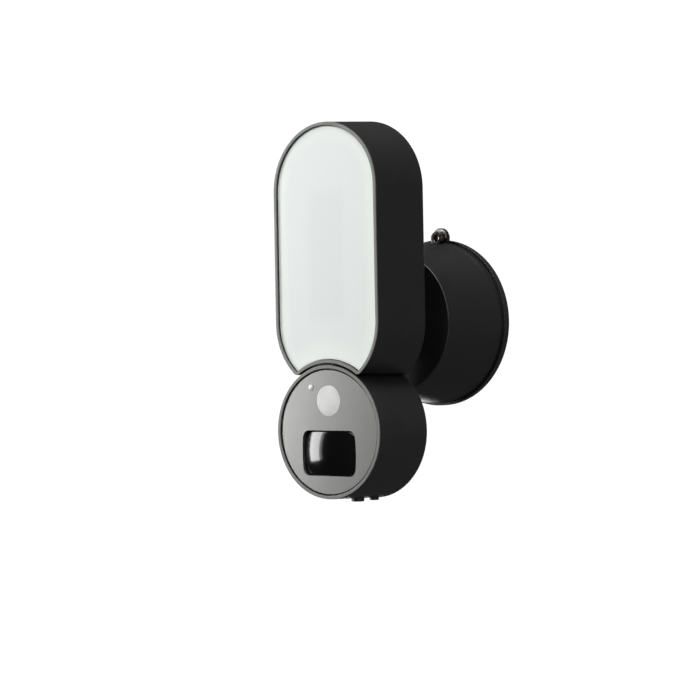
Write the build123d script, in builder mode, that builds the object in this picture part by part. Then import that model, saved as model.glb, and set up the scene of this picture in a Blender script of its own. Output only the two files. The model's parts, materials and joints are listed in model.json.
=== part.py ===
"""Wall-mounted floodlight with a security camera, a pan and tilt joint and a round wall base.

The origin is where the axis of the round wall base meets the wall. +X is to the right for
someone facing the front, +Y goes into the wall and +Z is up. Sizes are in millimetres.
"Out" is a distance from the wall, measured towards the front, so y = -out.
"""

import math
import os

from build123d import *

os.makedirs("parts", exist_ok=True)

# Both heads
FRONT_OUT = 125.5
HEAD_R = 44.0
WALL = 2.4
TRIM_T = 0.8
TRIM_W = 2.3
LIP_OUT = FRONT_OUT - TRIM_T

# Light head: a stadium with a concave lower edge that follows the drum below it
LIGHT_BACK_OUT = 80.0
LIGHT_BACK_R = 47.8
LIGHT_SPACING = 87.5
LIGHT_MID_Z = LIGHT_SPACING / 2
LIGHT_CORNER_R = 3.6
HEAD_GAP = 1.2
BITE_GROWTH = 2.0

# Drum that holds the camera
DRUM_Z = -72.0
DRUM_BACK_OUT = 78.0
DRUM_BACK_R = 46.0

# Opal diffuser and what lies behind it
DIFFUSER_OUT = FRONT_OUT - 1.4
DIFFUSER_T = 2.2
SEAL_T = 0.8
FIT_GAP = 0.15
LEDGE_W = 2.6
TRAY_FLOOR_OUT = 112.6
LED_BOARD_W = 28.0
LED_BOARD_H = 84.0
LED_BOARD_T = 1.6
SPREADER_T = 3.0
SPREADER_W = 52.0
SPREADER_H = 112.0
SPREADER_OUT = TRAY_FLOOR_OUT - 0.2

# Wall base
BASE_FACE_OUT = 54.5
BASE_FACE_R = 47.4
BASE_FOOT_R = 55.6
BASE_FOOT_OUT = 12.9
FLANGE_R = 58.2
RIM_R = 56.6
RIM_OUT = 9.5
SPLIT_OUT = 5.4
PLATE_T = 3.0
GASKET_T = 0.8
BASE_WALL = 2.5
BASE_FRONT_T = 4.0

# Lug and its clamping screw, a little to the right of the top
LUG_ANGLE = 83.2
LUG_RADIUS = 59.2
LUG_RISE = 0.9
LUG_R = 6.3
LUG_BACK_OUT = 6.6
LUG_FRONT_OUT = 9.0
LUG_FLARE_R = 3.2
SPACER_R = 4.4
TAB_R = 4.0
LUG_X = LUG_RADIUS * math.cos(math.radians(LUG_ANGLE))
LUG_Z = LUG_RADIUS * math.sin(math.radians(LUG_ANGLE))
LOCK_HEAD_R = 4.6
LOCK_HEAD_T = 4.4
LOCK_SHANK_R = 2.0
LOCK_SHANK_L = 6.2

# Wall fixings and cable entry
SLOT_SPACING = 68.0
SLOT_LENGTH = 12.0
SLOT_R = 2.5
CABLE_Z = -20.0
CABLE_R = 4.0
GROMMET_R = 7.0

# Pan and tilt joint
PAN_OUT = 64.0
TILT_OUT = 76.5
BARREL_R = 7.5
KNUCKLE_HALF = 6.8
TONGUE_HALF = 5.4
ARM_R = 8.0
ARM_GAP = 7.7
ARM_T = 5.0
EAR_GAP = 6.1
EAR_T = 4.5
STEM_R = 15.4
FORK_FLANGE_R = 22.0
FORK_FLANGE_T = 3.0
FORK_SCREW_R = 18.8
RECESS_R = 20.0
RECESS_OUT = 87.0
BRACKET_R = 18.4
BRACKET_T = 3.0
BRACKET_SCREWS = [(8.5, 12.2), (-8.5, 12.2), (8.5, -12.2), (-8.5, -12.2)]
PIVOT_R = 2.5
BORE_R = 2.56
PIVOT_HEAD_R = 4.6
PIVOT_HEAD_T = 2.8
NUT_R = 4.6
NUT_T = 4.4

# Camera face
PLATE_R = 40.9
PLATE_OUT = FRONT_OUT - 1.0
PLATE_DEPTH = 2.5
WINDOW_W = 45.6
WINDOW_H = 29.6
WINDOW_Z = DRUM_Z - 13.9
WINDOW_CORNER_R = 5.0
WINDOW_SIDE_BOW = 1.1
WINDOW_CROWN_R = 62.0
WINDOW_CROWN_OUT = 127.2
PIR_R = 10.15
PIR_Z = DRUM_Z + 20.7
DOT_R = 1.75
DOT_X = -14.7
DOT_Z = DRUM_Z + 29.3

# Boards in the drum
MAIN_BOARD_R = 34.0
MAIN_BOARD_OUT = 106.0
BOARD_T = 1.6
POST_R = 3.5
POST_CIRCLE_R = 29.0
IO_BOARD_Z = -98.0
LENS_R = 6.5
SCREW_R = 1.5
SCREW_HEAD_R = 2.8
SCREW_HEAD_T = 2.2

# Service cover behind the drum, reset button and vent plug under it
COVER_Z = -99.6
COVER_HALF_X = 8.5
COVER_HALF_Z = 4.0
COVER_T = 1.6
PORT_HALF_X = 6.3
PORT_HALF_Z = 1.7
HINGE_R = 1.2
HINGE_PIN_R = 0.5
HINGE_LUG_T = 2.4
HINGE_OUT = DRUM_BACK_OUT - 1.4
HINGE_Z = COVER_Z - COVER_HALF_Z - 1.5
HINGE_OFFSET = COVER_HALF_X - HINGE_LUG_T / 2 - 0.5
BUTTON_X = 3.0
BUTTON_OUT = 99.3
BUTTON_R = 4.3
BUTTON_STEM_R = 3.0
BUTTON_END_Z = -118.9
BUTTON_TRAVEL = 1.0
SWITCH_Z = IO_BOARD_Z - 3.5
SPOTFACE_Z = -116.1
VENT_X = 6.0
VENT_OUT = 85.8
VENT_R = 3.1
VENT_SHANK_R = 2.0
VENT_SEAT_Z = -116.6
VENT_END_Z = -118.8

# Link between the two heads
LINK_OUT = 103.0
LINK_R = 6.0
LINK_BORE_R = 4.0
LINK_PAD_R = 10.0
LINK_LOW_Z = -31.0
LINK_HIGH_Z = -21.5
LINK_NUT_T = 4.0

BASE_AXIS = Axis((0, 0, 0), (0, -1, 0))
DRUM_AXIS = Axis((0, 0, DRUM_Z), (0, -1, 0))


def save(piece, name):
    """Label a finished piece and write it as one STEP file."""
    piece.part.label = name
    export_step(piece.part, f"parts/{name}.step")


def face_plane(out, x=0.0, z=0.0):
    """Plane that faces the front, at a distance out from the wall; local axes are right and up."""
    return Plane(origin=(x, -out, z), x_dir=(1, 0, 0), z_dir=(0, -1, 0))


def half_plane(z=0.0, x=0.0):
    """Plane for turned profiles about a front-to-back axis; local axes are radius and out."""
    return Plane(origin=(x, 0, z), x_dir=(1, 0, 0), z_dir=(0, 0, -1))


def level_plane(z):
    """Horizontal plane, seen from above."""
    return Plane.XY.offset(z)


def side_plane(x):
    """Plane that faces right; local axes are into the wall and up."""
    return Plane.YZ.offset(x)


def turned(points, z=0.0, x=0.0):
    """Solid of revolution about a front-to-back axis, from (radius, out) corners."""
    with BuildPart() as piece:
        with BuildSketch(half_plane(z, x)):
            with BuildLine():
                Polyline(*points, close=True)
            make_face()
        revolve(axis=Axis((x, 0, z), (0, -1, 0)))
    return piece


def light_radius(out, inset=0.0):
    """Radius of the light head's round ends at a distance from the wall."""
    draft = (LIGHT_BACK_R - HEAD_R) / (FRONT_OUT - LIGHT_BACK_OUT)
    return HEAD_R + draft * (FRONT_OUT - out) - inset


def bite_radius(out, inset=0.0):
    """Radius of the concave lower edge of the light head, about the drum's axis."""
    growth = BITE_GROWTH / (FRONT_OUT - LIGHT_BACK_OUT)
    return HEAD_R + HEAD_GAP + growth * (FRONT_OUT - out) + inset


def drum_radius(out):
    """Outer radius of the drum at a distance from the wall."""
    draft = (DRUM_BACK_R - HEAD_R) / (FRONT_OUT - DRUM_BACK_OUT)
    return HEAD_R + draft * (FRONT_OUT - out)


def light_outline(out, inset, corner):
    """Flat outline of the light head, set in from its outer surface."""
    with BuildSketch(face_plane(out)) as outline:
        with Locations((0, LIGHT_MID_Z)):
            SlotCenterToCenter(LIGHT_SPACING, 2 * light_radius(out, inset), rotation=90)
        with Locations((0, DRUM_Z)):
            Circle(bite_radius(out, inset), mode=Mode.SUBTRACT)
        fillet(outline.vertices().group_by(Axis.Y)[0], corner)
    return outline.sketch


def light_solid(back, front, inset, corner):
    """Drafted body with the light head's outline, between two distances from the wall."""
    draft = math.degrees(math.atan((LIGHT_BACK_R - HEAD_R) / (FRONT_OUT - LIGHT_BACK_OUT)))
    past = 1.0
    with BuildPart() as body:
        with BuildSketch(face_plane(back)):
            with Locations((0, LIGHT_MID_Z)):
                SlotCenterToCenter(LIGHT_SPACING, 2 * light_radius(back, inset), rotation=90)
        extrude(amount=front - back, taper=draft)
        with BuildSketch(half_plane(DRUM_Z)):
            with BuildLine():
                Polyline(
                    (0, back - past),
                    (bite_radius(back - past, inset), back - past),
                    (bite_radius(front + past, inset), front + past),
                    (0, front + past),
                    close=True,
                )
            make_face()
        revolve(axis=DRUM_AXIS, mode=Mode.SUBTRACT)
        cusps = body.edges().filter_by(
            lambda edge: edge.length > 0.9 * (front - back) and edge.center().Z < -25
        )
        fillet(cusps, corner)
    return body.part


def screw_set(plane, points, head_r, head_t, shank_r, shank_l):
    """Pan-head screws with a hexagon socket; heads stand on the plane, shanks go into it."""
    with BuildPart() as screws:
        with BuildSketch(plane):
            with Locations(*points):
                Circle(head_r)
        extrude(amount=head_t)
        fillet(screws.edges().group_by(Axis(plane.origin, plane.z_dir))[-1], 0.35 * head_t)
        with BuildSketch(plane):
            with Locations(*points):
                Circle(shank_r)
        extrude(amount=-shank_l)
        with BuildSketch(plane.offset(head_t)):
            with Locations(*points):
                RegularPolygon(0.5 * head_r, 6)
        extrude(amount=-0.55 * head_t, mode=Mode.SUBTRACT)
    return screws


def dome(tip_out, edge_r, rise):
    """Arc of a spherical dome's profile, from its edge to its tip on the axis."""
    sphere_r = (edge_r**2 + rise**2) / (2 * rise)
    start = math.degrees(math.asin((sphere_r - rise) / sphere_r))
    return CenterArc((0, tip_out - sphere_r), sphere_r, start, 90 - start)


def ring(out_back, out_front, inner_r, outer_r, z=0.0):
    """Flat ring about a front-to-back axis."""
    corners = [(inner_r, out_back), (outer_r, out_back), (outer_r, out_front), (inner_r, out_front)]
    return turned(corners, z)


def route(points, radii, wire_r, sides=(0.0,)):
    """Leads of round section along straight runs joined by arcs, one at each sideways shift."""
    with BuildPart() as lead:
        for shift in sides:
            with BuildLine() as path:
                FilletPolyline(*[(x + shift, y, z) for x, y, z in points], radius=radii)
            with BuildSketch(Plane(origin=path.line @ 0, z_dir=path.line % 0)):
                Circle(wire_r)
            sweep(path=path.line)
    return lead


# ---------------------------------------------------------------- wall base

lug_point = (LUG_X, LUG_Z)
lug_foot = (LUG_X * 0.9, LUG_Z * 0.9)
lug_tip = (LUG_X, LUG_Z + LUG_RISE)


def lug_outline(out, ear_r, flare, disc_r):
    """Rounded ear that rises from a round rim, with small flares where it meets the rim."""
    with BuildSketch(face_plane(out)) as ear:
        Circle(disc_r)
        SlotCenterPoint(lug_foot, lug_tip, 2 * ear_r)
        inner_corners = ear.vertices().filter_by(
            lambda point: abs(Vector(point.X, 0, point.Z).length - disc_r) < 0.01 and point.Z > 40
        )
        fillet(inner_corners, flare)
        Circle(disc_r - 2.2, mode=Mode.SUBTRACT)
    return ear.sketch


with BuildPart() as back_plate:
    rim_t = SPLIT_OUT - GASKET_T
    with BuildSketch(face_plane(0)):
        Circle(FLANGE_R)
    extrude(amount=PLATE_T)
    with BuildSketch(face_plane(0)):
        Circle(FLANGE_R)
        Circle(FLANGE_R - 4, mode=Mode.SUBTRACT)
    extrude(amount=rim_t)
    extrude(lug_outline(PLATE_T, TAB_R, 1.0, FLANGE_R), amount=rim_t - PLATE_T)
    with BuildSketch(face_plane(PLATE_T)):
        Circle(52)
        Circle(50, mode=Mode.SUBTRACT)
    extrude(amount=6)
    with BuildSketch(face_plane(PLATE_T)):
        with Locations((31.5, 22), (-31.5, 22)):
            Circle(3.5)
        with Locations((0, -38)):
            Rectangle(34, 12)
    extrude(amount=3)
    with BuildSketch(face_plane(0)):
        with Locations((SLOT_SPACING / 2, 0), (-SLOT_SPACING / 2, 0)):
            SlotOverall(SLOT_LENGTH, 2 * SLOT_R)
        with Locations((0, CABLE_Z)):
            Circle(GROMMET_R)
        with Locations(lug_point):
            Circle(LOCK_SHANK_R)
    extrude(amount=rim_t, mode=Mode.SUBTRACT)
    with BuildSketch(face_plane(0)):
        with Locations((0, CABLE_Z)):
            Circle(GROMMET_R + 2.2)
    extrude(amount=1.0, mode=Mode.SUBTRACT)
    with BuildSketch(face_plane(PLATE_T + 3)):
        with Locations((31.5, 22), (-31.5, 22)):
            Circle(SCREW_R)
    extrude(amount=-4.5, mode=Mode.SUBTRACT)
save(back_plate, "back_plate")

base_gasket = ring(SPLIT_OUT - GASKET_T, SPLIT_OUT, FLANGE_R - 3.8, RIM_R - 0.4)
save(base_gasket, "base_gasket")

grommet_corners = [
    (CABLE_R, 0),
    (GROMMET_R + 2, 0),
    (GROMMET_R + 2, 1),
    (GROMMET_R, 1),
    (GROMMET_R, PLATE_T),
    (GROMMET_R + 2, PLATE_T),
    (GROMMET_R + 2, PLATE_T + 1.4),
    (CABLE_R + 1.6, 9),
    (CABLE_R, 9),
]
cable_grommet = turned(grommet_corners, CABLE_Z)
save(cable_grommet, "cable_grommet")

with BuildPart() as base_housing:
    with BuildSketch(half_plane()):
        with BuildLine():
            Polyline(
                (0, BASE_FACE_OUT),
                (BASE_FACE_R, BASE_FACE_OUT),
                (BASE_FOOT_R, BASE_FOOT_OUT),
                (RIM_R, RIM_OUT),
                (RIM_R, SPLIT_OUT),
                (0, SPLIT_OUT),
                close=True,
            )
        make_face()
    revolve(axis=BASE_AXIS)
    extrude(lug_outline(SPLIT_OUT, SPACER_R, 1.0, RIM_R), amount=LUG_BACK_OUT - SPLIT_OUT)
    lug = lug_outline(LUG_BACK_OUT, LUG_R, LUG_FLARE_R, RIM_R)
    extrude(lug, amount=LUG_FRONT_OUT - LUG_BACK_OUT)
    front_edge = base_housing.edges().filter_by(GeomType.CIRCLE).group_by(Axis.Y)[0]
    fillet(front_edge, 0.6)
    with BuildSketch(half_plane()):
        with BuildLine():
            Polyline(
                (0, BASE_FACE_OUT - BASE_FRONT_T),
                (BASE_FACE_R - BASE_WALL, BASE_FACE_OUT - BASE_FRONT_T),
                (BASE_FOOT_R - BASE_WALL, BASE_FOOT_OUT),
                (BASE_FOOT_R - BASE_WALL, LUG_FRONT_OUT - 0.6),
                (FLANGE_R - 4, SPLIT_OUT),
                (0, SPLIT_OUT),
                close=True,
            )
        make_face()
    revolve(axis=BASE_AXIS, mode=Mode.SUBTRACT)
    with BuildSketch(face_plane(LUG_FRONT_OUT)):
        with Locations(lug_point):
            Circle(LOCK_HEAD_R + 0.3)
    extrude(amount=11, mode=Mode.SUBTRACT)
    with BuildSketch(face_plane(SPLIT_OUT)):
        with Locations(lug_point):
            Circle(LOCK_SHANK_R + 0.2)
    extrude(amount=10, mode=Mode.SUBTRACT)
    with BuildSketch(face_plane(BASE_FACE_OUT)):
        Circle(STEM_R + 0.1)
    extrude(amount=-BASE_FRONT_T, mode=Mode.SUBTRACT)
    with BuildSketch(face_plane(BASE_FACE_OUT - BASE_FRONT_T)):
        with PolarLocations(FORK_SCREW_R, 3, start_angle=90):
            Circle(SCREW_R)
    extrude(amount=2.8, mode=Mode.SUBTRACT)
save(base_housing, "base_housing")

base_lock_screw = screw_set(
    face_plane(LUG_FRONT_OUT), [lug_point], LOCK_HEAD_R, LOCK_HEAD_T, LOCK_SHANK_R, LOCK_SHANK_L
)
save(base_lock_screw, "base_lock_screw")

with BuildPart() as terminal_block:
    block_out = PLATE_T + 3
    terminal_points = [(-9.5, -38), (0, -38), (9.5, -38)]
    with BuildSketch(face_plane(block_out)):
        with Locations((0, -38)):
            Rectangle(30, 11)
    extrude(amount=13)
    with BuildSketch(face_plane(block_out + 13)):
        with Locations(*terminal_points):
            Circle(2.3)
    extrude(amount=-3, mode=Mode.SUBTRACT)
    with BuildSketch(face_plane(block_out + 10)):
        with Locations(*terminal_points):
            Circle(1.2)
    extrude(amount=-4, mode=Mode.SUBTRACT)
    with BuildSketch(level_plane(-32.5)):
        with Locations(*[(x, -11) for x, _ in terminal_points]):
            Circle(1.2)
    extrude(amount=-5, mode=Mode.SUBTRACT)
save(terminal_block, "terminal_block")

terminal_screws = screw_set(face_plane(block_out + 10), terminal_points, 2.2, 1.6, 1.2, 4)
save(terminal_screws, "terminal_screws")

DRIVER_OUT = 6.0
DRIVER_Z = 22.0
driver_screw_points = [(31.5, DRIVER_Z), (-31.5, DRIVER_Z)]
with BuildPart() as led_driver:
    with BuildSketch(face_plane(DRIVER_OUT, 0, DRIVER_Z)):
        RectangleRounded(54, 30, 2)
    extrude(amount=22)
    fillet(led_driver.edges().group_by(Axis.Y)[0], 1.5)
    with BuildSketch(face_plane(DRIVER_OUT, 0, DRIVER_Z)):
        RectangleRounded(70, 8, 2)
    extrude(amount=1.5)
    with BuildSketch(face_plane(DRIVER_OUT)):
        with Locations(*driver_screw_points):
            Circle(SCREW_R + 0.15)
    extrude(amount=1.5, mode=Mode.SUBTRACT)
save(led_driver, "led_driver")

driver_screws = screw_set(
    face_plane(DRIVER_OUT + 1.5), driver_screw_points, SCREW_HEAD_R, SCREW_HEAD_T, SCREW_R, 5.5
)
save(driver_screws, "driver_screws")

supply_points = [(-9.5, -11, -35.5), (-9.5, -11, -22), (-9.5, -19, -6), (-9.5, -19, 7)]
supply_leads = route(supply_points, [6, 6], 0.9, (0.0, 19.0))
save(supply_leads, "supply_leads")

# ---------------------------------------------------------------- pan and tilt joint

with BuildPart() as swivel_fork:
    flange_front = BASE_FACE_OUT - BASE_FRONT_T - SEAL_T
    with BuildSketch(face_plane(flange_front)):
        Circle(FORK_FLANGE_R)
    extrude(amount=-FORK_FLANGE_T)
    with BuildSketch(face_plane(flange_front)):
        Circle(STEM_R)
    extrude(amount=BASE_FACE_OUT + 1 - flange_front)
    with BuildSketch(level_plane(-ARM_GAP - ARM_T)):
        with Locations((0, -PAN_OUT)):
            Circle(ARM_R)
        with Locations((0, -(PAN_OUT + BASE_FACE_OUT) / 2)):
            Rectangle(2 * ARM_R, PAN_OUT - BASE_FACE_OUT)
    extrude(amount=ARM_T)
    mirror(about=Plane.XY)
    with BuildSketch(level_plane(0)):
        with Locations((0, -PAN_OUT)):
            Circle(PIVOT_R + 0.1)
    extrude(amount=2 * ARM_GAP, both=True, mode=Mode.SUBTRACT)
    with BuildSketch(face_plane(flange_front - FORK_FLANGE_T)):
        Circle(CABLE_R + 1)
    extrude(amount=12, mode=Mode.SUBTRACT)
    with BuildSketch(face_plane(flange_front)):
        with PolarLocations(FORK_SCREW_R, 3, start_angle=90):
            Circle(SCREW_R + 0.15)
    extrude(amount=-FORK_FLANGE_T, mode=Mode.SUBTRACT)
save(swivel_fork, "swivel_fork")

with BuildPart() as fork_seal:
    with BuildSketch(face_plane(flange_front)):
        Circle(FORK_FLANGE_R)
        Circle(STEM_R + 0.1, mode=Mode.SUBTRACT)
        with PolarLocations(FORK_SCREW_R, 3, start_angle=90):
            Circle(SCREW_R + 0.15, mode=Mode.SUBTRACT)
    extrude(amount=SEAL_T)
save(fork_seal, "fork_seal")

fork_screw_points = [
    (FORK_SCREW_R * math.cos(angle), FORK_SCREW_R * math.sin(angle))
    for angle in (math.radians(90), math.radians(210), math.radians(330))
]
rear_facing = Plane(
    origin=(0, -(flange_front - FORK_FLANGE_T), 0), x_dir=(-1, 0, 0), z_dir=(0, 1, 0)
)
fork_screws = screw_set(
    rear_facing,
    [(-x, z) for x, z in fork_screw_points],
    SCREW_HEAD_R,
    SCREW_HEAD_T,
    SCREW_R,
    FORK_FLANGE_T + SEAL_T + 2.6,
)
save(fork_screws, "fork_screws")

with BuildPart() as knuckle:
    with BuildSketch(level_plane(-KNUCKLE_HALF)):
        with Locations((0, -PAN_OUT)):
            Circle(BARREL_R)
    extrude(amount=2 * KNUCKLE_HALF)
    with BuildSketch(side_plane(-TONGUE_HALF)):
        with Locations((-TILT_OUT, 0)):
            Circle(KNUCKLE_HALF)
        with Locations((-(TILT_OUT + PAN_OUT) / 2, 0)):
            Rectangle(TILT_OUT - PAN_OUT, 2 * KNUCKLE_HALF)
    extrude(amount=2 * TONGUE_HALF)
    with BuildSketch(level_plane(-KNUCKLE_HALF)):
        with Locations((0, -PAN_OUT)):
            Circle(BORE_R)
    extrude(amount=2 * KNUCKLE_HALF, mode=Mode.SUBTRACT)
    with BuildSketch(side_plane(-TONGUE_HALF)):
        with Locations((-TILT_OUT, 0)):
            Circle(BORE_R)
    extrude(amount=2 * TONGUE_HALF, mode=Mode.SUBTRACT)
save(knuckle, "knuckle")


def pivot_screw(plane, grip):
    """Button-head pivot screw; the head stands on the plane and the shank passes through the grip."""
    return screw_set(plane, [(0, 0)], PIVOT_HEAD_R, PIVOT_HEAD_T, PIVOT_R, grip + NUT_T + 0.6)


def pivot_nut(plane):
    """Hexagon lock nut that stands on the plane."""
    with BuildPart() as nut:
        with BuildSketch(plane):
            RegularPolygon(NUT_R, 6)
            Circle(PIVOT_R, mode=Mode.SUBTRACT)
        extrude(amount=NUT_T)
    return nut


def friction_washers(plane, gap, thickness, outer_r):
    """Pair of flat washers, one on each side of a pivot's tongue."""
    with BuildPart() as washers:
        for side in (plane.offset(gap - thickness), plane.offset(-gap)):
            with BuildSketch(side):
                Circle(outer_r)
                Circle(PIVOT_R + 0.1, mode=Mode.SUBTRACT)
            extrude(amount=thickness)
    return washers


pan_half = ARM_GAP + ARM_T
pan_axis_plane = Plane(origin=(0, -PAN_OUT, 0), x_dir=(1, 0, 0), z_dir=(0, 0, 1))
save(pivot_screw(pan_axis_plane.offset(pan_half), 2 * pan_half), "pan_screw")
pan_below = Plane(origin=(0, -PAN_OUT, -pan_half), x_dir=(1, 0, 0), z_dir=(0, 0, -1))
save(pivot_nut(pan_below), "pan_nut")
save(friction_washers(pan_axis_plane, ARM_GAP, 0.8, 7.2), "pan_washers")

tilt_half = EAR_GAP + EAR_T
tilt_axis_plane = Plane(origin=(0, -TILT_OUT, 0), x_dir=(0, 1, 0), z_dir=(1, 0, 0))
save(pivot_screw(tilt_axis_plane.offset(tilt_half), 2 * tilt_half), "tilt_screw")
tilt_left = Plane(origin=(-tilt_half, -TILT_OUT, 0), x_dir=(0, 1, 0), z_dir=(-1, 0, 0))
save(pivot_nut(tilt_left), "tilt_nut")
save(friction_washers(tilt_axis_plane, EAR_GAP, 0.6, 6.4), "tilt_washers")

with BuildPart() as tilt_bracket:
    with BuildSketch(face_plane(RECESS_OUT - BRACKET_T)):
        Circle(BRACKET_R)
    extrude(amount=BRACKET_T)
    with BuildSketch(side_plane(EAR_GAP)):
        with Locations((-TILT_OUT, 0)):
            Circle(KNUCKLE_HALF)
        with Locations((-(TILT_OUT + RECESS_OUT - BRACKET_T) / 2, 0)):
            Rectangle(RECESS_OUT - BRACKET_T - TILT_OUT, 2 * KNUCKLE_HALF)
    extrude(amount=EAR_T)
    mirror(about=Plane.YZ)
    with BuildSketch(side_plane(0)):
        with Locations((-TILT_OUT, 0)):
            Circle(PIVOT_R + 0.1)
    extrude(amount=2 * tilt_half, both=True, mode=Mode.SUBTRACT)
    with BuildSketch(face_plane(RECESS_OUT)):
        with Locations(*BRACKET_SCREWS):
            Circle(SCREW_R + 0.15)
        with Locations((0, -12)):
            Circle(CABLE_R)
    extrude(amount=-BRACKET_T, mode=Mode.SUBTRACT)
save(tilt_bracket, "tilt_bracket")

bracket_rear = Plane(origin=(0, -(RECESS_OUT - BRACKET_T), 0), x_dir=(-1, 0, 0), z_dir=(0, 1, 0))
bracket_screws = screw_set(
    bracket_rear, BRACKET_SCREWS, SCREW_HEAD_R, SCREW_HEAD_T, SCREW_R, BRACKET_T + 6
)
save(bracket_screws, "bracket_screws")

# ---------------------------------------------------------------- light head

SPREADER_POSTS = [(20, 0), (-20, 0), (20, 87), (-20, 87)]
LEDGE_FRONT = DIFFUSER_OUT - DIFFUSER_T - SEAL_T

with BuildPart() as light_housing:
    add(light_solid(LIGHT_BACK_OUT, LIP_OUT, 0, LIGHT_CORNER_R))
    fillet(light_housing.faces().sort_by(Axis.Y)[-1].edges(), 0.8)
    add(light_solid(LIGHT_BACK_OUT + BASE_WALL, LIP_OUT + 1, WALL, 1.2), mode=Mode.SUBTRACT)
    with BuildSketch(face_plane(LEDGE_FRONT)):
        add(light_outline(LEDGE_FRONT, WALL - 0.5, 1.2))
        add(light_outline(LEDGE_FRONT, WALL + LEDGE_W, 0.8), mode=Mode.SUBTRACT)
    extrude(amount=-2)
    with BuildSketch(face_plane(LIGHT_BACK_OUT + 1)):
        Circle(RECESS_R + BASE_WALL)
    extrude(amount=RECESS_OUT + BASE_WALL - LIGHT_BACK_OUT - 1)
    with BuildSketch(face_plane(RECESS_OUT + 1)):
        with Locations(*BRACKET_SCREWS):
            Circle(POST_R)
    extrude(amount=7)
    with BuildSketch(face_plane(LIGHT_BACK_OUT + 1)):
        with Locations(*SPREADER_POSTS):
            Circle(POST_R + 0.5)
    extrude(amount=SPREADER_OUT - SPREADER_T - LIGHT_BACK_OUT - 1)
    with BuildSketch(face_plane(LIGHT_BACK_OUT)):
        Circle(RECESS_R)
    extrude(amount=RECESS_OUT - LIGHT_BACK_OUT, mode=Mode.SUBTRACT)
    with BuildSketch(face_plane(RECESS_OUT)):
        with Locations(*BRACKET_SCREWS):
            Circle(SCREW_R)
    extrude(amount=6.5, mode=Mode.SUBTRACT)
    with BuildSketch(face_plane(RECESS_OUT)):
        with Locations((0, -12)):
            Circle(CABLE_R - 0.5)
    extrude(amount=4, mode=Mode.SUBTRACT)
    with BuildSketch(face_plane(SPREADER_OUT - SPREADER_T)):
        with Locations(*SPREADER_POSTS):
            Circle(SCREW_R)
    extrude(amount=-8, mode=Mode.SUBTRACT)
    with BuildSketch(level_plane(LINK_HIGH_Z)):
        with Locations((0, -LINK_OUT)):
            Circle(LINK_PAD_R)
    extrude(amount=-3.5)
    with BuildSketch(level_plane(LINK_HIGH_Z)):
        with Locations((0, -LINK_OUT)):
            Circle(LINK_R)
    extrude(amount=-8, mode=Mode.SUBTRACT)
save(light_housing, "light_housing")

with BuildPart() as light_bezel:
    with BuildSketch(face_plane(LIP_OUT)):
        add(light_outline(LIP_OUT, 0.1, LIGHT_CORNER_R))
        add(light_outline(LIP_OUT, TRIM_W, 1.3), mode=Mode.SUBTRACT)
    extrude(amount=TRIM_T)
    fillet(light_bezel.faces().sort_by(Axis.Y)[0].edges(), 0.25)
save(light_bezel, "light_bezel")

with BuildPart() as diffuser:
    with BuildSketch(face_plane(DIFFUSER_OUT)):
        add(light_outline(DIFFUSER_OUT, WALL + FIT_GAP, 1.2))
    extrude(amount=-DIFFUSER_T)
    fillet(diffuser.faces().sort_by(Axis.Y)[0].edges(), 0.5)
save(diffuser, "diffuser")

with BuildPart() as diffuser_seal:
    with BuildSketch(face_plane(LEDGE_FRONT)):
        add(light_outline(LEDGE_FRONT, WALL + FIT_GAP, 1.2))
        add(light_outline(LEDGE_FRONT, WALL + LEDGE_W - 0.2, 0.8), mode=Mode.SUBTRACT)
    extrude(amount=SEAL_T)
save(diffuser_seal, "diffuser_seal")

TRAY_T = 1.0
TRAY_RIM_OUT = LEDGE_FRONT - 2.4
TRAY_INSET = WALL + 0.5
TRAY_FLOOR_INSET = 10.0
with BuildPart() as reflector_tray:
    with BuildSketch(face_plane(TRAY_RIM_OUT)):
        add(light_outline(TRAY_RIM_OUT, TRAY_INSET, 1.0))
    with BuildSketch(face_plane(TRAY_FLOOR_OUT)):
        add(light_outline(TRAY_FLOOR_OUT, TRAY_FLOOR_INSET, 0.6))
    loft(ruled=True)
    with BuildSketch(face_plane(TRAY_RIM_OUT)):
        add(light_outline(TRAY_RIM_OUT, TRAY_INSET + TRAY_T, 0.9))
    with BuildSketch(face_plane(TRAY_FLOOR_OUT + TRAY_T)):
        add(light_outline(TRAY_FLOOR_OUT, TRAY_FLOOR_INSET + TRAY_T, 0.5))
    loft(ruled=True, mode=Mode.SUBTRACT)
    with BuildSketch(face_plane(TRAY_FLOOR_OUT)):
        with Locations((0, LIGHT_MID_Z)):
            Rectangle(LED_BOARD_W + 1, LED_BOARD_H + 1)
    extrude(amount=TRAY_T, mode=Mode.SUBTRACT)
save(reflector_tray, "reflector_tray")

SUNK_HEAD_T = 1.5
BOARD_SCREW_R = 1.0
board_screw_points = [
    (side * (LED_BOARD_W / 2 - 3), LIGHT_MID_Z + end * (LED_BOARD_H / 2 - 3))
    for side in (-1, 1)
    for end in (-1, 1)
]
with BuildPart() as heat_spreader:
    with BuildSketch(face_plane(SPREADER_OUT)):
        with Locations((0, LIGHT_MID_Z)):
            RectangleRounded(SPREADER_W, SPREADER_H, 6)
        with Locations(*SPREADER_POSTS):
            Circle(SCREW_R + 0.15, mode=Mode.SUBTRACT)
        with Locations(*board_screw_points):
            Circle(BOARD_SCREW_R, mode=Mode.SUBTRACT)
    extrude(amount=-SPREADER_T)
    with BuildSketch(face_plane(SPREADER_OUT)):
        with Locations(*SPREADER_POSTS):
            Circle(SCREW_HEAD_R + 0.2)
    extrude(amount=-SUNK_HEAD_T, mode=Mode.SUBTRACT)
save(heat_spreader, "heat_spreader")

spreader_screws = screw_set(
    face_plane(SPREADER_OUT - SUNK_HEAD_T),
    SPREADER_POSTS,
    SCREW_HEAD_R,
    SUNK_HEAD_T,
    SCREW_R,
    SPREADER_T - SUNK_HEAD_T + 7,
)
save(spreader_screws, "spreader_screws")

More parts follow.
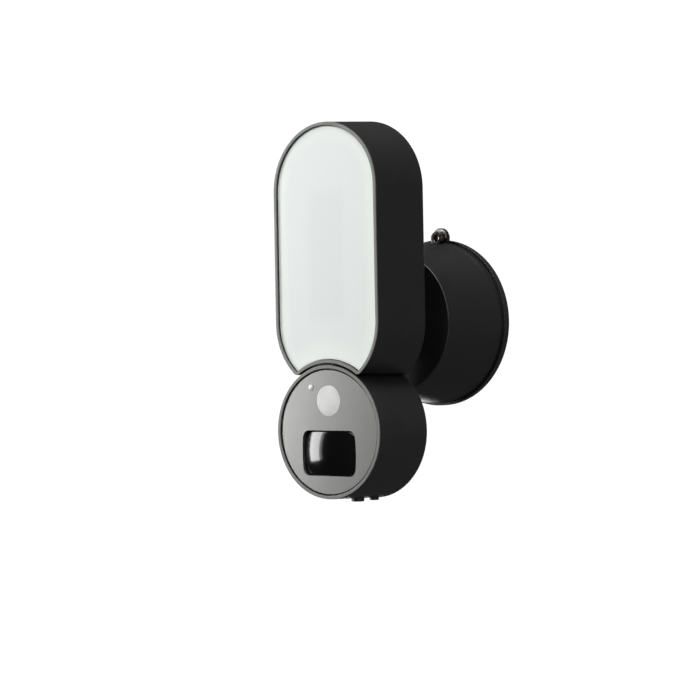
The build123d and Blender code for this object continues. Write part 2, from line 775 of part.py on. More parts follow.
with BuildPart() as led_board:
    with BuildSketch(face_plane(SPREADER_OUT)):
        with Locations((0, LIGHT_MID_Z)):
            RectangleRounded(LED_BOARD_W, LED_BOARD_H, 1)
        with Locations(*board_screw_points):
            Circle(BOARD_SCREW_R + 0.1, mode=Mode.SUBTRACT)
    extrude(amount=LED_BOARD_T)
save(led_board, "led_board")

BOARD_FRONT = SPREADER_OUT + LED_BOARD_T
led_board_screws = screw_set(
    face_plane(BOARD_FRONT),
    board_screw_points,
    1.9,
    1.2,
    BOARD_SCREW_R,
    LED_BOARD_T + SPREADER_T,
)
save(led_board_screws, "led_board_screws")

with BuildPart() as led_chips:
    with BuildSketch(face_plane(BOARD_FRONT)):
        with Locations((0, LIGHT_MID_Z)):
            with GridLocations(10, 9, 2, 8):
                Rectangle(3.5, 2.8)
    extrude(amount=0.8)
save(led_chips, "led_chips")

# ---------------------------------------------------------------- link between the heads

link_plane = Plane(origin=(0, -LINK_OUT, 0), x_dir=(1, 0, 0), z_dir=(0, 0, 1))
nipple_low = LINK_LOW_Z - LINK_NUT_T - 1.5
nipple_high = LINK_HIGH_Z + LINK_NUT_T + 1.5
with BuildPart() as link_nipple:
    with BuildSketch(link_plane.offset(nipple_low)):
        Circle(LINK_R)
        Circle(LINK_BORE_R, mode=Mode.SUBTRACT)
    extrude(amount=nipple_high - nipple_low)
save(link_nipple, "link_nipple")

with BuildPart() as link_nuts:
    for height in (LINK_LOW_Z - LINK_NUT_T, LINK_HIGH_Z):
        with BuildSketch(link_plane.offset(height)):
            RegularPolygon(9.4, 6)
            Circle(LINK_R, mode=Mode.SUBTRACT)
        extrude(amount=LINK_NUT_T)
save(link_nuts, "link_nuts")

with BuildPart() as link_seal:
    with BuildSketch(link_plane.offset(-32)):
        Circle(LINK_PAD_R)
        Circle(LINK_R + 0.05, mode=Mode.SUBTRACT)
    extrude(amount=8)
    seal_back = LINK_OUT - LINK_PAD_R - 1
    seal_front = LINK_OUT + LINK_PAD_R + 1
    with BuildSketch(half_plane(DRUM_Z)):
        with BuildLine():
            Polyline(
                (drum_radius(seal_back) + 0.02, seal_back),
                (bite_radius(seal_back) - 0.02, seal_back),
                (bite_radius(seal_front) - 0.02, seal_front),
                (drum_radius(seal_front) + 0.02, seal_front),
                close=True,
            )
        make_face()
    revolve(axis=DRUM_AXIS, mode=Mode.INTERSECT)
save(link_seal, "link_seal")

lead_points = [(0, -100, 12), (0, -100, -2), (0, -LINK_OUT, -14), (0, -LINK_OUT, -40)]
head_lead = route(lead_points, [12, 12], 1.9)
save(head_lead, "head_lead")

# ---------------------------------------------------------------- camera drum

PLATE_BACK = PLATE_OUT - PLATE_DEPTH
DRUM_SEAL_T = 0.8
PLATE_LEDGE = PLATE_BACK - DRUM_SEAL_T
MAIN_BOARD_FRONT = MAIN_BOARD_OUT + BOARD_T
post_points = [
    (POST_CIRCLE_R * math.cos(angle), DRUM_Z + POST_CIRCLE_R * math.sin(angle))
    for angle in (math.radians(15), math.radians(130), math.radians(195))
]
speaker_holes = [(0, -80)] + [
    (6 * math.cos(math.radians(60 * step)), -80 + 6 * math.sin(math.radians(60 * step)))
    for step in range(6)
]
MIC_X = -9.0
MIC_OUT = 86.0

with BuildPart() as camera_housing:
    with BuildSketch(half_plane(DRUM_Z)):
        with BuildLine():
            Polyline(
                (0, DRUM_BACK_OUT),
                (DRUM_BACK_R, DRUM_BACK_OUT),
                (HEAD_R, LIP_OUT),
                (PLATE_R + 0.8, LIP_OUT),
                (PLATE_R + 0.8, PLATE_LEDGE),
                (38.6, PLATE_LEDGE),
                (38.6, PLATE_LEDGE - 2),
                (drum_radius(PLATE_LEDGE - 4) - WALL, PLATE_LEDGE - 4),
                (DRUM_BACK_R - WALL, DRUM_BACK_OUT + BASE_WALL),
                (0, DRUM_BACK_OUT + BASE_WALL),
                close=True,
            )
        make_face()
    revolve(axis=DRUM_AXIS)
    fillet(camera_housing.edges().group_by(Axis.Y)[-1], 0.8)
    with BuildSketch(level_plane(LINK_LOW_Z)):
        with Locations((0, -LINK_OUT)):
            Circle(LINK_PAD_R)
    extrude(amount=2.4)
    with BuildSketch(face_plane(DRUM_BACK_OUT + 1)):
        with Locations(*post_points):
            Circle(POST_R)
    extrude(amount=MAIN_BOARD_OUT - DRUM_BACK_OUT - 1)
    with BuildSketch(face_plane(MAIN_BOARD_OUT)):
        with Locations(*post_points):
            Circle(SCREW_R)
    extrude(amount=-8, mode=Mode.SUBTRACT)
    with BuildSketch(level_plane(LINK_LOW_Z)):
        with Locations((0, -LINK_OUT)):
            Circle(LINK_R)
    extrude(amount=8, mode=Mode.SUBTRACT)
    with BuildSketch(face_plane(DRUM_BACK_OUT)):
        with Locations(*speaker_holes):
            Circle(1.1)
    extrude(amount=BASE_WALL, mode=Mode.SUBTRACT)
    with BuildSketch(face_plane(DRUM_BACK_OUT)):
        with Locations((0, COVER_Z)):
            Rectangle(2 * PORT_HALF_X, 2 * PORT_HALF_Z)
    extrude(amount=BASE_WALL, mode=Mode.SUBTRACT)
    with BuildSketch(level_plane(-112)):
        with Locations((BUTTON_X, -BUTTON_OUT)):
            Circle(BUTTON_R + 0.2)
        with Locations((MIC_X, -MIC_OUT)):
            Circle(0.8)
        with Locations((VENT_X, -VENT_OUT)):
            Circle(VENT_SHANK_R)
    extrude(amount=-8, mode=Mode.SUBTRACT)
    with BuildSketch(level_plane(SPOTFACE_Z)):
        with Locations((BUTTON_X, -BUTTON_OUT)):
            Circle(BUTTON_R + 1.3)
    extrude(amount=-4, mode=Mode.SUBTRACT)
    with BuildSketch(level_plane(VENT_SEAT_Z)):
        with Locations((VENT_X, -VENT_OUT)):
            Circle(VENT_R + 0.15)
    extrude(amount=-4, mode=Mode.SUBTRACT)
    for shift in (-HINGE_OFFSET, HINGE_OFFSET):
        with BuildSketch(side_plane(shift - HINGE_LUG_T / 2)):
            with Locations((-HINGE_OUT, HINGE_Z)):
                Circle(HINGE_R)
            with Locations((-(HINGE_OUT + DRUM_BACK_OUT + 0.4) / 2, HINGE_Z)):
                Rectangle(DRUM_BACK_OUT + 0.4 - HINGE_OUT, 2 * HINGE_R)
            with Locations((-HINGE_OUT, HINGE_Z)):
                Circle(HINGE_PIN_R, mode=Mode.SUBTRACT)
        extrude(amount=HINGE_LUG_T)
save(camera_housing, "camera_housing")

with BuildPart() as camera_bezel:
    with BuildSketch(face_plane(LIP_OUT, 0, DRUM_Z)):
        Circle(HEAD_R - 0.1)
        Circle(PLATE_R + 0.8, mode=Mode.SUBTRACT)
    extrude(amount=TRIM_T)
    fillet(camera_bezel.edges().group_by(Axis.Y)[0], 0.25)
save(camera_bezel, "camera_bezel")

camera_seal = ring(PLATE_LEDGE, PLATE_BACK, 38.8, PLATE_R - 0.1, DRUM_Z)
save(camera_seal, "camera_seal")


def window_outline(out, grow):
    """Rounded rectangle whose left and right sides bow outwards."""
    half_w = WINDOW_W / 2 - WINDOW_SIDE_BOW + grow
    half_h = WINDOW_H / 2 + grow
    middle = half_w + WINDOW_SIDE_BOW
    with BuildSketch(face_plane(out, 0, WINDOW_Z)) as outline:
        with BuildLine():
            Line((-half_w, half_h), (half_w, half_h))
            ThreePointArc((half_w, half_h), (middle, 0), (half_w, -half_h))
            Line((half_w, -half_h), (-half_w, -half_h))
            ThreePointArc((-half_w, -half_h), (-middle, 0), (-half_w, half_h))
        make_face()
        fillet(outline.vertices(), WINDOW_CORNER_R + grow)
    return outline.sketch


with BuildPart() as face_plate:
    with BuildSketch(face_plane(PLATE_BACK, 0, DRUM_Z)):
        Circle(PLATE_R)
    extrude(amount=PLATE_DEPTH)
    fillet(face_plate.edges().group_by(Axis.Y)[0], 0.3)
    extrude(window_outline(PLATE_BACK, FIT_GAP), amount=PLATE_DEPTH, mode=Mode.SUBTRACT)
    with BuildSketch(face_plane(PLATE_BACK)):
        with Locations((0, PIR_Z)):
            Circle(PIR_R)
        with Locations((DOT_X, DOT_Z)):
            Circle(DOT_R)
    extrude(amount=PLATE_DEPTH, mode=Mode.SUBTRACT)
save(face_plate, "face_plate")

WINDOW_FLANGE_T = 1.6
WINDOW_SHELL_T = 2.0
window_back = PLATE_BACK - WINDOW_FLANGE_T
with BuildPart() as camera_window:
    extrude(window_outline(window_back, 0), amount=10)
    with BuildSketch(level_plane(WINDOW_Z - WINDOW_H)):
        with Locations((0, WINDOW_CROWN_R - WINDOW_CROWN_OUT)):
            Circle(WINDOW_CROWN_R)
    extrude(amount=2 * WINDOW_H, mode=Mode.INTERSECT)
    fillet(camera_window.faces().filter_by(GeomType.CYLINDER).sort_by(SortBy.AREA)[-1].edges(), 1.0)
    extrude(window_outline(window_back, 2.2), amount=WINDOW_FLANGE_T)
    cavity_front = WINDOW_CROWN_OUT - WINDOW_SHELL_T
    with BuildSketch(level_plane(WINDOW_Z - WINDOW_H / 2 + WINDOW_SHELL_T)):
        with Locations((0, WINDOW_CROWN_R - WINDOW_CROWN_OUT)):
            Circle(WINDOW_CROWN_R - WINDOW_SHELL_T)
        with Locations((0, -window_back)):
            Rectangle(
                WINDOW_W - 3 * WINDOW_SHELL_T,
                20,
                align=(Align.CENTER, Align.MAX),
                mode=Mode.INTERSECT,
            )
    extrude(amount=WINDOW_H - 2 * WINDOW_SHELL_T, mode=Mode.SUBTRACT)
save(camera_window, "camera_window")

with BuildPart() as pir_lens:
    with BuildSketch(half_plane(PIR_Z)):
        with BuildLine():
            dome(PLATE_OUT + 0.5, PIR_R - 0.05, 0.6)
            Polyline(
                (PIR_R - 0.05, PLATE_OUT - 0.1),
                (PIR_R - 0.05, PLATE_BACK),
                (PIR_R + 1, PLATE_BACK),
                (PIR_R + 1, PLATE_BACK - 1),
                (PIR_R - 1, PLATE_BACK - 1),
                (PIR_R - 1, PLATE_OUT - 1.5),
                (0, PLATE_OUT - 0.9),
                (0, PLATE_OUT + 0.5),
            )
        make_face()
    revolve(axis=Axis((0, 0, PIR_Z), (0, -1, 0)))
save(pir_lens, "pir_lens")

pipe_corners = [
    (0, MAIN_BOARD_FRONT + 0.8),
    (DOT_R - 0.05, MAIN_BOARD_FRONT + 0.8),
    (DOT_R - 0.05, 121),
    (DOT_R + 0.8, 121),
    (DOT_R + 0.8, PLATE_BACK),
    (DOT_R - 0.05, PLATE_BACK),
    (DOT_R - 0.05, PLATE_OUT - 0.1),
    (DOT_R - 0.5, PLATE_OUT + 0.3),
    (0, PLATE_OUT + 0.4),
]
indicator_light_pipe = turned(pipe_corners, DOT_Z, DOT_X)
save(indicator_light_pipe, "indicator_light_pipe")

# ---------------------------------------------------------------- electronics in the drum

with BuildPart() as main_board:
    with BuildSketch(face_plane(MAIN_BOARD_OUT)):
        with Locations((0, DRUM_Z)):
            Circle(MAIN_BOARD_R)
        with Locations(*post_points):
            Circle(SCREW_R + 0.15, mode=Mode.SUBTRACT)
    extrude(amount=BOARD_T)
save(main_board, "main_board")

board_screws = screw_set(
    face_plane(MAIN_BOARD_FRONT), post_points, SCREW_HEAD_R, SCREW_HEAD_T, SCREW_R, BOARD_T + 7
)
save(board_screws, "board_screws")

barrel_corners = [
    (0, MAIN_BOARD_FRONT),
    (8.5, MAIN_BOARD_FRONT),
    (8.5, 110.5),
    (LENS_R, 110.5),
    (LENS_R, 117.8),
    (LENS_R - 1.4, 117.8),
    (LENS_R - 1.9, 116.0),
    (0, 116.0),
]
camera_lens_barrel = turned(barrel_corners, WINDOW_Z)
save(camera_lens_barrel, "camera_lens_barrel")

with BuildPart() as camera_lens_glass:
    with BuildSketch(half_plane(WINDOW_Z)):
        with BuildLine():
            dome(117.6, 4.5, 1.6)
            Polyline((0, 117.6), (0, 116.0), (4.5, 116.0))
        make_face()
    revolve(axis=Axis((0, 0, WINDOW_Z), (0, -1, 0)))
save(camera_lens_glass, "camera_lens_glass")

with BuildPart() as infrared_leds:
    led_points = [(x, WINDOW_Z + z) for x in (-14, 14) for z in (-6, 6)]
    with BuildSketch(face_plane(MAIN_BOARD_FRONT)):
        with Locations(*led_points):
            Circle(2.5)
    extrude(amount=6.5)
    fillet(infrared_leds.edges().group_by(Axis.Y)[0], 2.2)
save(infrared_leds, "infrared_leds")

can_corners = [
    (0, MAIN_BOARD_FRONT),
    (4.6, MAIN_BOARD_FRONT),
    (4.6, MAIN_BOARD_FRONT + 0.5),
    (4.1, MAIN_BOARD_FRONT + 0.5),
    (4.1, 111.9),
    (0, 111.9),
]
pir_sensor = turned(can_corners, PIR_Z)
save(pir_sensor, "pir_sensor")

with BuildPart() as wireless_module:
    with BuildSketch(face_plane(MAIN_BOARD_OUT)):
        with Locations((8, -58)):
            Rectangle(16, 13)
    extrude(amount=-2.4)
    fillet(wireless_module.faces().sort_by(Axis.Y)[-1].edges(), 0.5)
save(wireless_module, "wireless_module")

with BuildPart() as wireless_antenna:
    with BuildSketch(half_plane(DRUM_Z)):
        with Locations((42.2, 95)):
            Rectangle(0.4, 9)
    revolve(axis=DRUM_AXIS)
    with BuildSketch(face_plane(90)):
        with Locations((-40, DRUM_Z)):
            Rectangle(16, 40)
    extrude(amount=10, mode=Mode.INTERSECT)
save(wireless_antenna, "wireless_antenna")

speaker_back = DRUM_BACK_OUT + BASE_WALL
speaker_corners = [
    (0, speaker_back),
    (9, speaker_back),
    (9, speaker_back + 3.4),
    (6, speaker_back + 5.4),
    (0, speaker_back + 5.4),
]
speaker = turned(speaker_corners, -80)
save(speaker, "speaker")

with BuildPart() as io_board:
    with BuildSketch(level_plane(IO_BOARD_Z)):
        with Locations((0, -93)):
            Rectangle(34, 24)
    extrude(amount=BOARD_T)
    with BuildSketch(level_plane(IO_BOARD_Z)):
        with Locations((MIC_X, -MIC_OUT)):
            Circle(2.0)
    extrude(amount=-1.2)
save(io_board, "io_board")

with BuildPart() as card_socket:
    socket_mouth = face_plane(DRUM_BACK_OUT + BASE_WALL + 0.1)
    with BuildSketch(socket_mouth):
        with Locations((0, IO_BOARD_Z - 1.4)):
            Rectangle(12.4, 2.8)
    extrude(amount=11)
    with BuildSketch(socket_mouth):
        with Locations((0, IO_BOARD_Z - 1.6)):
            Rectangle(11.2, 1.0)
    extrude(amount=9, mode=Mode.SUBTRACT)
save(card_socket, "card_socket")

with BuildPart() as reset_switch:
    with BuildSketch(level_plane(IO_BOARD_Z)):
        with Locations((BUTTON_X, -BUTTON_OUT)):
            Rectangle(8, 8)
    extrude(amount=SWITCH_Z - IO_BOARD_Z)
    with BuildSketch(level_plane(SWITCH_Z)):
        with Locations((BUTTON_X, -BUTTON_OUT)):
            Circle(1.5)
    extrude(amount=-1.4)
save(reset_switch, "reset_switch")

# ---------------------------------------------------------------- service cover, button and vent

with BuildPart() as service_cover:
    cover_rear = DRUM_BACK_OUT - FIT_GAP - COVER_T
    with BuildSketch(face_plane(cover_rear)):
        with Locations((0, COVER_Z)):
            RectangleRounded(2 * COVER_HALF_X, 2 * COVER_HALF_Z, 1.5)
    extrude(amount=COVER_T)
    fillet(service_cover.faces().sort_by(Axis.Y)[-1].edges(), 0.4)
    with BuildSketch(face_plane(cover_rear)):
        with Locations((0, COVER_Z + COVER_HALF_Z - 1.4)):
            RectangleRounded(COVER_HALF_X, 0.9, 0.4)
    extrude(amount=-0.6)
    barrel_half = HINGE_OFFSET - HINGE_LUG_T / 2 - FIT_GAP
    with BuildSketch(side_plane(-barrel_half)):
        with Locations((-HINGE_OUT, HINGE_Z)):
            Circle(HINGE_R)
        with Locations((-(cover_rear + COVER_T / 2), HINGE_Z + HINGE_R)):
            Rectangle(COVER_T, 2 * HINGE_R)
    extrude(amount=2 * barrel_half)
    with BuildSketch(side_plane(-barrel_half)):
        with Locations((-HINGE_OUT, HINGE_Z)):
            Circle(HINGE_PIN_R + 0.05)
    extrude(amount=2 * barrel_half, mode=Mode.SUBTRACT)
save(service_cover, "service_cover")

with BuildPart() as cover_hinge_pin:
    pin_half = HINGE_OFFSET + HINGE_LUG_T / 2
    with BuildSketch(side_plane(-pin_half)):
        with Locations((-HINGE_OUT, HINGE_Z)):
            Circle(HINGE_PIN_R)
    extrude(amount=2 * pin_half)
save(cover_hinge_pin, "cover_hinge_pin")

with BuildPart() as vent_plug:
    with BuildSketch(level_plane(VENT_SEAT_Z)):
        with Locations((VENT_X, -VENT_OUT)):
            Circle(VENT_R)
    extrude(amount=VENT_END_Z - VENT_SEAT_Z)
    fillet(vent_plug.edges().group_by(Axis.Z)[0], 0.5)
    with BuildSketch(level_plane(VENT_END_Z)):
        with Locations((VENT_X, -VENT_OUT)):
            Rectangle(0.8, 2 * VENT_R)
    extrude(amount=0.8, mode=Mode.SUBTRACT)
    with BuildSketch(level_plane(VENT_SEAT_Z)):
        with Locations((VENT_X, -VENT_OUT)):
            Circle(VENT_SHANK_R)
    extrude(amount=3.6)
save(vent_plug, "vent_plug")

BUTTON_FLANGE_Z = -113.6
BUTTON_FLANGE_T = 1.0
BUTTON_STEM_TOP = SWITCH_Z - 1.4 - BUTTON_TRAVEL - 0.3
button_plane = Plane(origin=(BUTTON_X, -BUTTON_OUT, 0), x_dir=(1, 0, 0), z_dir=(0, 0, 1))
with BuildPart() as reset_button:
    with BuildSketch(button_plane.offset(BUTTON_END_Z)):
        Circle(BUTTON_R)
    extrude(amount=BUTTON_FLANGE_Z - BUTTON_END_Z)
    fillet(reset_button.edges().group_by(Axis.Z)[0], 0.6)
    with BuildSketch(button_plane.offset(BUTTON_FLANGE_Z)):
        Circle(BUTTON_R + 0.9)
    extrude(amount=BUTTON_FLANGE_T)
    with BuildSketch(button_plane.offset(BUTTON_FLANGE_Z)):
        Circle(BUTTON_STEM_R - 1)
    extrude(amount=BUTTON_STEM_TOP - BUTTON_FLANGE_Z)
save(reset_button, "reset_button")

SPRING_R = 3.0
SPRING_WIRE_R = 0.25
spring_low = BUTTON_FLANGE_Z + BUTTON_FLANGE_T + SPRING_WIRE_R + 0.05
spring_high = SWITCH_Z - SPRING_WIRE_R - 0.05
with BuildPart() as button_spring:
    with BuildLine() as coil:
        Helix(
            pitch=(spring_high - spring_low) / 5,
            height=spring_high - spring_low,
            radius=SPRING_R,
            center=(BUTTON_X, -BUTTON_OUT, spring_low),
        )
    with BuildSketch(Plane(origin=coil.line @ 0, z_dir=coil.line % 0)):
        Circle(SPRING_WIRE_R)
    sweep(path=coil.line, is_frenet=True)
save(button_spring, "button_spring")
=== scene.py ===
import json
import math

import bmesh
import bpy
from mathutils import Matrix, Vector


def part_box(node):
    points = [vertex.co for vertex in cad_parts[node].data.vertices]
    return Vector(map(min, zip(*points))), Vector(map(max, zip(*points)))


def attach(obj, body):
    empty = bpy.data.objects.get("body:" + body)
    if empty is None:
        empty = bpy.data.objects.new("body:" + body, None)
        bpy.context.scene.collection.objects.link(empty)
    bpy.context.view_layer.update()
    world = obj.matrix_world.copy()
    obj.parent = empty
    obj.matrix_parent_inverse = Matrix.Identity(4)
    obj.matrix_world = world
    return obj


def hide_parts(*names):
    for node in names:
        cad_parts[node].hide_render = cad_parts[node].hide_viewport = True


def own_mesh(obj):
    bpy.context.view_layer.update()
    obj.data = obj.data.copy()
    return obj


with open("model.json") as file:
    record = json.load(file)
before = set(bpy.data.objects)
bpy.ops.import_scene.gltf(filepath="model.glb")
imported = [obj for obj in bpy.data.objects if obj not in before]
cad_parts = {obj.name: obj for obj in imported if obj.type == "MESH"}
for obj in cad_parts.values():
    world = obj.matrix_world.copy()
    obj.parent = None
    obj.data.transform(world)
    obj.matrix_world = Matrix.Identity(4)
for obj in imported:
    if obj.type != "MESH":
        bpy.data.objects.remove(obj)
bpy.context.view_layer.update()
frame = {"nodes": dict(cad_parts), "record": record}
scene = bpy.context.scene
scene.view_settings.view_transform = "Standard"

# Shapes are given in millimetres as (x, out, z), where out is the distance from the wall.
# Cameras and lights are given in metres in the frame's own axes.
MM = 1000.0
FULL_TURN = 2 * math.pi

# ---------------------------------------------------------------- camera

CAMERA_AT = (0.8239, -1.0869, -0.0232)
CAMERA_RIGHT = Vector((0.7671, 0.6412, -0.0182))
CAMERA_VIEW = Vector((-0.6413, 0.7673, 0.0038))


def make_camera():
    """Long-lens camera in front of the object and to its right."""
    data = bpy.data.cameras.new("camera")
    data.sensor_width = 36.0
    data.lens = 99.374
    data.clip_start = 0.05
    data.clip_end = 60.0
    camera = bpy.data.objects.new("camera", data)
    back = -CAMERA_VIEW.normalized()
    right = (CAMERA_RIGHT - back * CAMERA_RIGHT.dot(back)).normalized()
    up = back.cross(right)
    turn = Matrix((right, up, back)).transposed().to_4x4()
    camera.matrix_world = Matrix.Translation(CAMERA_AT) @ turn
    scene.collection.objects.link(camera)
    scene.camera = camera


make_camera()

# ---------------------------------------------------------------- materials

# Light head's middle, half the distance between its two arcs, and the camera drum's axis
LIGHT_MID_Z = 43.75
LIGHT_HALF_SPACING = 43.75
DRUM_Z = -72.0
PLATE_R = 40.9
PLATE_CROWN = 0.5

# Size of the slow colour drift over a surface, and how far it goes either way
DRIFT = 14.0
DRIFT_SHARE = 0.12


class Shader:
    """Small helper around one material's node tree."""

    def __init__(self, name):
        self.material = bpy.data.materials.new(name)
        self.material.use_nodes = True
        self.tree = self.material.node_tree
        self.body = self.tree.nodes["Principled BSDF"]
        coords = self.tree.nodes.new("ShaderNodeTexCoord")
        self.coords = coords.outputs["Object"]

    def node(self, kind, **values):
        made = self.tree.nodes.new(kind)
        for key, value in values.items():
            setattr(made, key, value)
        return made

    def link(self, source, target):
        self.tree.links.new(source, target)

    def noise(self, grain, detail=3.0):
        """Noise whose grains are this many millimetres across."""
        mapping = self.node("ShaderNodeMapping")
        mapping.inputs["Scale"].default_value = [MM / grain] * 3
        self.link(self.coords, mapping.inputs["Vector"])
        noise = self.node("ShaderNodeTexNoise")
        noise.inputs["Scale"].default_value = 1.0
        noise.inputs["Detail"].default_value = detail
        noise.inputs["Roughness"].default_value = 0.55
        self.link(mapping.outputs["Vector"], noise.inputs["Vector"])
        return noise.outputs["Fac"]

    def ramp(self, source, stops):
        """Colour ramp through (position, colour) stops."""
        ramp = self.node("ShaderNodeValToRGB")
        elements = ramp.color_ramp.elements
        while len(elements) < len(stops):
            elements.new(0.5)
        for element, (at, colour) in zip(elements, stops):
            element.position = at
            element.color = (*colour, 1.0)
        self.link(source, ramp.inputs["Fac"])
        return ramp.outputs["Color"]

    def span(self, source, low, high, source_low=0.3, source_high=0.7):
        """Value moved from the source's span to low..high."""
        span = self.node("ShaderNodeMapRange")
        span.inputs["From Min"].default_value = source_low
        span.inputs["From Max"].default_value = source_high
        span.inputs["To Min"].default_value = low
        span.inputs["To Max"].default_value = high
        self.link(source, span.inputs["Value"])
        return span.outputs["Result"]

    def calc(self, operation, a, b=0.0):
        """One sum on two values, each a number or another node's output."""
        node = self.node("ShaderNodeMath", operation=operation)
        for socket, value in zip(node.inputs, (a, b)):
            if isinstance(value, (int, float)):
                socket.default_value = value
            else:
                self.link(value, socket)
        return node.outputs["Value"]

    def place(self):
        """Object coordinates x and z in millimetres."""
        split = self.node("ShaderNodeSeparateXYZ")
        self.link(self.coords, split.inputs["Vector"])
        x = self.calc("MULTIPLY", split.outputs["X"], MM)
        z = self.calc("MULTIPLY", split.outputs["Z"], MM)
        return x, z

    def reach(self, x, z):
        """Distance from the point where x and z are zero."""
        squares = [self.calc("MULTIPLY", value, value) for value in (x, z)]
        return self.calc("SQRT", self.calc("ADD", *squares))

    def bump(self, source, depth):
        """Bump from a 0..1 height; depth is in millimetres."""
        bump = self.node("ShaderNodeBump")
        bump.inputs["Strength"].default_value = 1.0
        bump.inputs["Distance"].default_value = depth / MM
        self.link(source, bump.inputs["Height"])
        self.link(bump.outputs["Normal"], self.body.inputs["Normal"])


def finish_material(name, colour, rough, grain, depth=0.02, rough_spread=0.05, **sockets):
    """Moulded, painted or turned surface: slow colour drift, fine grain in roughness and bump."""
    made = Shader(name)
    low = [c * (1 - DRIFT_SHARE) for c in colour]
    high = [c * (1 + DRIFT_SHARE) for c in colour]
    made.link(made.ramp(made.noise(DRIFT), [(0.3, low), (0.7, high)]), made.body.inputs["Base Color"])
    fine = made.noise(grain, detail=2.0)
    roughness = made.span(fine, rough - rough_spread, rough + rough_spread)
    made.link(roughness, made.body.inputs["Roughness"])
    if depth:
        made.bump(fine, depth)
    for key, value in sockets.items():
        made.body.inputs[key.replace("_", " ")].default_value = value
    return made.material


def opal_material():
    """Milky cover with painted light: a painted glow near its walls and a painted shadow over the lamp board
    behind it.
    """
    made = Shader("opal")
    x, z = made.place()
    from_middle = made.calc("ABSOLUTE", made.calc("SUBTRACT", z, LIGHT_MID_Z))
    past_straight = made.calc("MAXIMUM", made.calc("SUBTRACT", from_middle, LIGHT_HALF_SPACING), 0.0)
    # Painted glow: lighter colour near the cover's walls and near its curved wall over the camera drum.
    wall_glow_mask = made.span(made.reach(x, past_straight), 0.0, 1.0, 31.0, 42.0)
    drum_wall_glow_mask = made.span(made.reach(x, made.calc("ADD", z, -DRUM_Z)), 1.0, 0.0, 47.0, 62.0)
    edge = made.calc("MAXIMUM", wall_glow_mask, drum_wall_glow_mask)
    # Painted shadow of the lamp board behind the cover: darker in a soft-edged patch over the middle.
    board_shadow_x = made.span(made.calc("ABSOLUTE", x), 1.0, 0.0, 12.0, 17.0)
    board_shadow_z = made.span(from_middle, 1.0, 0.0, 38.0, 47.0)
    board = made.calc("MULTIPLY", board_shadow_x, board_shadow_z)
    cloud = made.span(made.noise(26.0), -0.06, 0.06)
    # Painted light: the glow raises the colour, the board's painted shadow lowers it, and a random cloud is
    # added.
    painted_light_tone = made.calc("ADD", made.calc("SUBTRACT", made.calc("ADD", edge, 1.0), board), cloud)
    # Colours: painted shadow over the board, plain cover between, painted glow by the walls.
    board_shadow_colour = (0.715, 0.752, 0.742)
    between = (0.745, 0.785, 0.768)
    wall_glow_colour = (0.835, 0.880, 0.835)
    share = made.span(painted_light_tone, 0.0, 1.0, 0.0, 2.0)
    colour = made.ramp(share, [(0.0, board_shadow_colour), (0.5, between), (1.0, wall_glow_colour)])
    made.link(colour, made.body.inputs["Base Color"])
    made.link(made.span(made.noise(0.4, detail=2.0), 0.42, 0.48), made.body.inputs["Roughness"])
    made.body.inputs["Transmission Weight"].default_value = 0.30
    return made.material


def plate_material():
    """Satin metallic lacquer, shaded as if the plate had a shallow crown."""
    made = Shader("grey_plate")
    darker = (0.205, 0.205, 0.200)
    lighter = (0.214, 0.214, 0.209)
    made.link(made.ramp(made.noise(DRIFT), [(0.3, darker), (0.7, lighter)]), made.body.inputs["Base Color"])
    made.link(made.span(made.noise(0.2, detail=2.0), 0.34, 0.38), made.body.inputs["Roughness"])
    made.body.inputs["Metallic"].default_value = 0.75
    x, z = made.place()
    reach = made.calc("MULTIPLY", made.reach(x, made.calc("ADD", z, -DRUM_Z)), 1 / PLATE_R)
    made.bump(made.calc("SUBTRACT", 1.0, made.calc("MULTIPLY", reach, reach)), PLATE_CROWN)
    return made.material


def metal(**options):
    return dict(Metallic=1.0, **options)


# Colour, roughness and options of each finish
FINISHES = {
    "black_paint": ((0.0104, 0.0104, 0.0100), 0.38, dict(grain=0.30, depth=0.012)),
    "black_plastic": ((0.014, 0.014, 0.014), 0.40, dict(grain=0.5, depth=0.012)),
    "grey_trim": ((0.125, 0.126, 0.122), 0.38, dict(grain=0.2, depth=0.006)),
    "smoked_window": (
        (0.0012, 0.0012, 0.0013),
        0.11,
        dict(grain=5.0, depth=0.0, rough_spread=0.01, Specular_IOR_Level=0.36),
    ),
    "pale_lens": ((0.52, 0.52, 0.51), 0.6, dict(grain=1.0, depth=0.0)),
    "light_pipe": ((0.64, 0.64, 0.63), 0.2, dict(grain=1.0, depth=0.0)),
    "black_chrome": ((0.15, 0.135, 0.125), 0.17, metal(grain=0.8, depth=0.004)),
    "clamp_metal": ((0.34, 0.33, 0.31), 0.35, dict(grain=0.4, depth=0.004, Metallic=0.6)),
    "zinc_steel": ((0.55, 0.55, 0.54), 0.3, metal(grain=0.6)),
    "brass": ((0.68, 0.47, 0.2), 0.3, metal(grain=0.6)),
    "black_rubber": ((0.012, 0.012, 0.012), 0.65, dict(grain=0.4)),
    "white_plastic": ((0.78, 0.78, 0.76), 0.4, dict(grain=0.6)),
    "aluminium": ((0.66, 0.67, 0.68), 0.35, metal(grain=0.5)),
    "white_board": ((0.72, 0.74, 0.72), 0.4, dict(grain=0.6)),
    "green_board": ((0.02, 0.12, 0.04), 0.4, dict(grain=0.6)),
    "led_yellow": ((0.75, 0.55, 0.1), 0.4, dict(grain=0.6)),
    "lens_glass": ((0.01, 0.01, 0.02), 0.04, dict(grain=2.0, depth=0.0, rough_spread=0.01)),
    "wire": ((0.3, 0.03, 0.02), 0.4, dict(grain=0.6)),
    "nylon": ((0.7, 0.68, 0.62), 0.4, dict(grain=0.6)),
}
MATERIALS = {"grey_plate": plate_material(), "opal": opal_material()}
for name, (colour, rough, options) in FINISHES.items():
    MATERIALS[name] = finish_material(name, colour, rough, **options)

